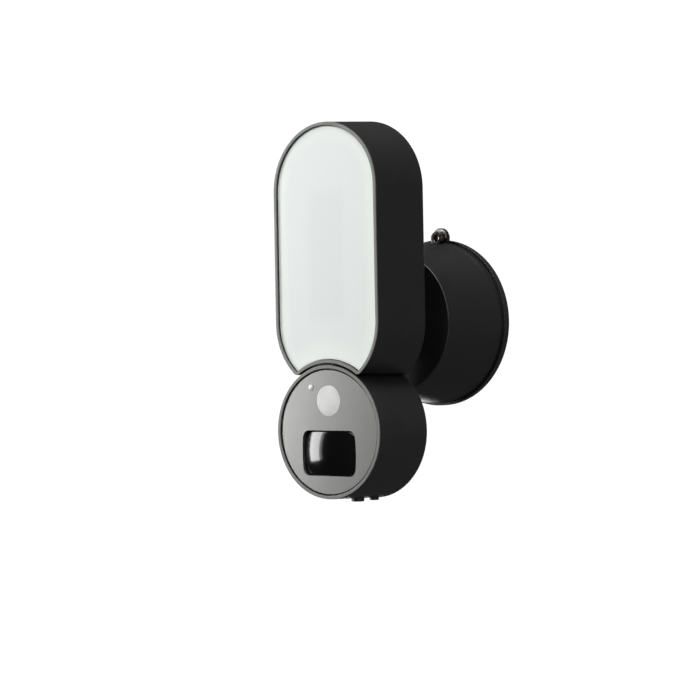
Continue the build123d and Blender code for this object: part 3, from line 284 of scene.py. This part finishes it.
for part in frame["record"]["subparts"]:
    mesh = frame["nodes"][part["node"]].data
    mesh.materials.clear()
    mesh.materials.append(MATERIALS[part["material_slot"]])

# ---------------------------------------------------------------- mesh helpers


def add_object(name, shape, material):
    """Object made from a bmesh, which is freed."""
    mesh = bpy.data.meshes.new(name)
    shape.to_mesh(mesh)
    shape.free()
    mesh.materials.append(material)
    made = bpy.data.objects.new(name, mesh)
    scene.collection.objects.link(made)
    return made


def loft(name, loops, material, sharp=40.0, fan_start=False, fan_end=False):
    """Skin through closed loops of (x, out, z) points, all of the same length."""
    shape = bmesh.new()
    rings = [[shape.verts.new((x / MM, -out / MM, z / MM)) for x, out, z in loop] for loop in loops]
    count = len(loops[0])
    for low, high in zip(rings, rings[1:]):
        for i in range(count):
            j = (i + 1) % count
            shape.faces.new((low[i], low[j], high[j], high[i]))
    for wanted, ring in ((fan_start, rings[0]), (fan_end, rings[-1])):
        if wanted:
            middle = shape.verts.new(sum((v.co for v in ring), Vector()) / count)
            for i in range(count):
                shape.faces.new((ring[i], ring[(i + 1) % count], middle))
    bmesh.ops.recalc_face_normals(shape, faces=shape.faces)
    made = add_object(name, shape, material)
    for face in made.data.polygons:
        face.use_smooth = True
    made.data.set_sharp_from_angle(angle=math.radians(sharp))
    return made


def middle_of(low, high):
    """Middle of a box given in metres, as (x, out, z) in millimetres."""
    x, y, z = ((a + b) / 2 * MM for a, b in zip(low, high))
    return x, -y, z


def circle(x0, z0, radius, out, count):
    """Circle about a front-to-back axis."""
    turns = [FULL_TURN * k / count for k in range(count)]
    return [(x0 + radius * math.cos(a), out, z0 + radius * math.sin(a)) for a in turns]


# ---------------------------------------------------------------- camera window

WINDOW_Z = -85.9
WINDOW_HALF_W = 22.75
WINDOW_HALF_H = 14.75
WINDOW_SIDE_BOW = 1.1
WINDOW_CORNER_R = 5.0
WINDOW_CROWN = 127.15
WINDOW_BACK = 121.0
WINDOW_FALL_X = 124.0
WINDOW_FALL_Z = 105.0
EDGE_ROLL = 1.3
ROLL_FROM = 0.93


def rounded_box_loop(half_w, half_h, bow, corner, per_corner=12, per_side=16):
    """Rounded rectangle whose left and right sides bow outwards, as (x, z) points."""
    edge = half_w - bow

    def side(z):
        return half_w - bow * (z / half_h) ** 2

    points = []
    for sign_x, sign_z, start in ((1, 1, 0), (-1, 1, 90), (-1, -1, 180), (1, -1, 270)):
        arc = []
        for step in range(per_corner + 1):
            turn = math.radians(start + 90 * step / per_corner)
            x = sign_x * (edge - corner) + corner * math.cos(turn)
            z = sign_z * (half_h - corner) + corner * math.sin(turn)
            arc.append((x + sign_x * (side(z) - edge) * abs(math.cos(turn)), z))
        points += arc
        last_x, last_z = arc[-1]
        for k in range(1, per_side):
            along = 1 - 2 * k / per_side
            if start in (0, 180):
                points.append((last_x * along, last_z))
            else:
                points.append((sign_x * side(last_z * along), last_z * along))
    return points


def window_out(x, z):
    """Distance from the wall of the window's bulging front, x and z from its middle."""
    return WINDOW_CROWN - x * x / WINDOW_FALL_X - z * z / WINDOW_FALL_Z


def window_loop(outline, share, drop=0.0):
    """The outline shrunk to a share of its size, laid on the bulging front."""
    loop = []
    for x, z in outline:
        x_in, z_in = x * share, z * share
        loop.append((x_in, window_out(x_in, z_in) - drop, WINDOW_Z + z_in))
    return loop


def make_window():
    """Smoked window that bulges both ways, with a rolled edge and a skirt behind the plate."""
    outline = rounded_box_loop(WINDOW_HALF_W, WINDOW_HALF_H, WINDOW_SIDE_BOW, WINDOW_CORNER_R)
    front_steps, roll_steps = 24, 8
    loops = [window_loop(outline, step / front_steps * ROLL_FROM) for step in range(1, front_steps + 1)]
    for step in range(1, roll_steps + 1):
        turn = math.radians(90 * step / roll_steps)
        share = ROLL_FROM + (1 - ROLL_FROM) * math.sin(turn)
        loops.append(window_loop(outline, share, EDGE_ROLL * (1 - math.cos(turn))))
    loops.append([(x, WINDOW_BACK, WINDOW_Z + z) for x, z in outline])
    made = loft("window_cover", loops, MATERIALS["smoked_window"], fan_start=True)
    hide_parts("camera_window")
    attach(made, "head")


make_window()

# ---------------------------------------------------------------- clamping screw and its lug

# The CAD screw's head is 4.4 mm thick; the visible head and its hexagon socket are a little larger
CAD_HEAD_T = 4.4
HEAD_R = 4.8
HEAD_T = 5.0
HEAD_EDGE = 0.4
SOCKET = 4.2
SHANK_R = 2.0
SHANK_L = 6.2
SCREW_POINTS = 96
KNURL_SHARE = 0.035

WASHER_R = 6.3
WASHER_RISE = 0.9


def make_lock_screw():
    """Knurled cap head with a hexagon socket, on a plain shank."""
    low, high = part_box("base_lock_screw")
    x0, _, z0 = middle_of(low, high)
    seat = -low[1] * MM - CAD_HEAD_T
    top = seat + HEAD_T

    def ring(radius, out):
        return circle(x0, z0, radius, out, SCREW_POINTS)

    def knurled(out):
        """Circle whose every other point is a little nearer the middle."""
        grip = [HEAD_R * (1 - KNURL_SHARE * (k % 2)) for k in range(SCREW_POINTS)]
        return [(x0 + (x - x0) * g, out, z0 + (z - z0) * g) for (x, out, z), g in zip(ring(1.0, out), grip)]

    def hexagon(flats, out):
        loop = []
        for k in range(SCREW_POINTS):
            turn = FULL_TURN * k / SCREW_POINTS
            radius = flats / 2 / math.cos((turn % (math.pi / 3)) - math.pi / 6)
            loop.append((x0 + radius * math.cos(turn), out, z0 + radius * math.sin(turn)))
        return loop

    loops = [ring(SHANK_R, seat - SHANK_L), ring(SHANK_R, seat), ring(HEAD_R - 0.3, seat)]
    loops += [ring(HEAD_R - 0.15, seat + 0.2), ring(HEAD_R - 0.1, seat + 0.8)]
    loops += [knurled(seat + 0.9), knurled(top - HEAD_EDGE - 0.4)]
    for step in range(9):
        turn = math.radians(90 * step / 8)
        inwards, down = HEAD_EDGE * (1 - math.cos(turn)), HEAD_EDGE * (1 - math.sin(turn))
        loops.append(ring(HEAD_R - 0.1 - inwards, top - down))
    rim = SOCKET / 2 * 1.22
    loops += [ring(rim, top), ring(rim - 0.12, top - 0.1)]
    loops += [hexagon(SOCKET, top - 0.45), hexagon(SOCKET - 0.05, top - 1.9)]
    loops += [ring(SOCKET * 0.42, top - 1.95), ring(0.15, top - 2.3)]
    made = loft("clamping_screw", loops, MATERIALS["black_chrome"], sharp=28.0, fan_start=True, fan_end=True)
    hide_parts("base_lock_screw")
    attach(made, "base")


def make_clamp_washer():
    """Thin shaped washer of bright metal over the lug, under the clamping screw's head."""
    low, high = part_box("base_lock_screw")
    x0, _, z0 = middle_of(low, high)
    turns = [math.radians(-10 + 200 * k / 72) for k in range(73)]
    loops = []
    for inset, out in ((0.7, 8.9), (0.6, 9.2), (0.8, 9.35), (4.3, 9.35)):
        radius = WASHER_R - inset
        loop = [(x0 + radius * math.cos(a), out, z0 + WASHER_RISE + radius * math.sin(a)) for a in turns]
        loops.append(loop)
    made = loft("clamp_washer", loops, MATERIALS["clamp_metal"], sharp=30.0, fan_start=True, fan_end=True)
    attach(made, "base")


make_lock_screw()
make_clamp_washer()

# ---------------------------------------------------------------- small pieces

BEAD_R = 57.85
BEAD_OUT = 4.45
BEAD_WIRE_R = 0.3

# Radius and distance from the wall along the indicator's domed end
CAP_PROFILE = ((1.7, 124.3), (1.95, 124.52), (1.9, 124.75), (1.65, 124.98), (1.2, 125.15), (0.6, 125.26))

SPRING_TURNS = 5.0
SPRING_STEPS = 200
SPRING_R = 3.0
SPRING_WIRE_R = 0.25


def make_plate_edge():
    """Rolled front edge of the back plate, along a circle about the base's axis."""
    loops = []
    for step in range(13):
        turn = FULL_TURN * step / 12
        radius = BEAD_R + BEAD_WIRE_R * math.cos(turn)
        loops.append(circle(0.0, 0.0, radius, BEAD_OUT + BEAD_WIRE_R * math.sin(turn), 240))
    made = loft("plate_edge_bead", loops, MATERIALS["black_paint"], sharp=80.0)
    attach(made, "base")


def make_indicator_cap():
    """Small domed end of the indicator's light pipe, proud of the face plate."""
    low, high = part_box("indicator_light_pipe")
    x0, _, z0 = middle_of(low, high)
    loops = [circle(x0, z0, radius, out, 48) for radius, out in CAP_PROFILE]
    made = loft("indicator_cap", loops, MATERIALS["light_pipe"], sharp=60.0, fan_start=True, fan_end=True)
    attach(made, "head")


def make_button_spring():
    """Coil spring over the reset button's stem, with a mesh of its own."""
    low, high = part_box("button_spring")
    x0, out0, _ = middle_of(low, high)
    z0, z1 = low[2] * MM + SPRING_WIRE_R, high[2] * MM - SPRING_WIRE_R
    loops = []
    for step in range(SPRING_STEPS + 1):
        turn = FULL_TURN * SPRING_TURNS * step / SPRING_STEPS
        middle = z0 + (z1 - z0) * step / SPRING_STEPS
        loop = []
        for k in range(10):
            a = FULL_TURN * k / 10
            reach = SPRING_R + SPRING_WIRE_R * math.cos(a)
            height = middle + SPRING_WIRE_R * math.sin(a)
            loop.append((x0 + reach * math.cos(turn), out0 + reach * math.sin(turn), height))
        loops.append(loop)
    made = loft("coil_spring", loops, MATERIALS["zinc_steel"], sharp=80.0, fan_start=True, fan_end=True)
    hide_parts("button_spring")
    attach(made, "head")
    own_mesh(made)


make_plate_edge()
make_indicator_cap()
make_button_spring()

# ---------------------------------------------------------------- studio

DOME_R = 12.0
FLOOR_R = 11.5
FLOOR_Z = -1.2
GLOW = 1.05
CENTRE = Vector((0.0, -0.08, 0.01))

# Name, place, width and height, and watts
LIGHTS = (
    ("key_left", (-1.40, -0.875, 0.24), (0.50, 1.25), 27),
    ("key_edge", (-1.24, -1.13, 0.24), (0.14, 1.2), 1.6),
    ("right", (1.7, -0.9, 0.5), (0.9, 0.9), 8),
    ("front_fill", (0.05, -1.55, 1.15), (0.8, 0.6), 17),
    ("back", (-0.35, 1.75, 0.2), (0.7, 0.7), 6),
    ("top", (0.1, -0.3, 1.5), (1.2, 1.0), 22),
    ("back_low", (-1.05, 1.14, -0.42), (0.3, 0.3), 1.2),
)


def glow_material(name, colour):
    """White that gives its own even light over a plain colour."""
    made = bpy.data.materials.new(name)
    made.use_nodes = True
    body = made.node_tree.nodes["Principled BSDF"]
    body.inputs["Base Color"].default_value = (*colour, 1)
    body.inputs["Specular IOR Level"].default_value = 0.0
    body.inputs["Emission Color"].default_value = (1, 1, 1, 1)
    body.inputs["Emission Strength"].default_value = GLOW
    return made


def make_stage():
    """White dome all round and a white floor; neither lights the object."""
    shape = bmesh.new()
    bmesh.ops.create_uvsphere(shape, u_segments=48, v_segments=24, radius=DOME_R)
    bmesh.ops.reverse_faces(shape, faces=shape.faces)
    backdrop = add_object("backdrop", shape, glow_material("backdrop_white", (0, 0, 0)))
    backdrop.visible_transmission = False
    backdrop.visible_shadow = False
    shape = bmesh.new()
    bmesh.ops.create_circle(shape, cap_ends=True, segments=96, radius=FLOOR_R)
    floor = add_object("floor", shape, glow_material("floor_white", (0.3, 0.3, 0.3)))
    floor.location = (0, 0, FLOOR_Z)
    for surface in (backdrop, floor):
        surface.visible_diffuse = False
        surface.visible_glossy = False


def make_world():
    """Dim light from all round, brighter from the right."""
    world = bpy.data.worlds.new("world")
    scene.world = world
    world.use_nodes = True
    tree = world.node_tree
    background = tree.nodes["Background"]
    background.inputs["Color"].default_value = (1, 1, 1, 1)
    direction = tree.nodes.new("ShaderNodeTexCoord")
    split = tree.nodes.new("ShaderNodeSeparateXYZ")
    level = tree.nodes.new("ShaderNodeMapRange")
    for socket, value in (("From Min", -0.6), ("From Max", 0.8), ("To Min", 0.06), ("To Max", 0.19)):
        level.inputs[socket].default_value = value
    tree.links.new(direction.outputs["Generated"], split.inputs["Vector"])
    tree.links.new(split.outputs["X"], level.inputs["Value"])
    tree.links.new(level.outputs["Result"], background.inputs["Strength"])


def area_light(name, at, size, watts):
    """Rectangular soft light aimed at the object's middle."""
    data = bpy.data.lights.new(name, "AREA")
    data.shape = "RECTANGLE"
    data.size, data.size_y = size
    data.energy = watts
    light = bpy.data.objects.new(name, data)
    light.location = at
    light.rotation_mode = "QUATERNION"
    light.rotation_quaternion = (CENTRE - Vector(at)).to_track_quat("-Z", "Y")
    scene.collection.objects.link(light)


make_stage()
make_world()
for name, at, size, watts in LIGHTS:
    area_light(name, at, size, watts)
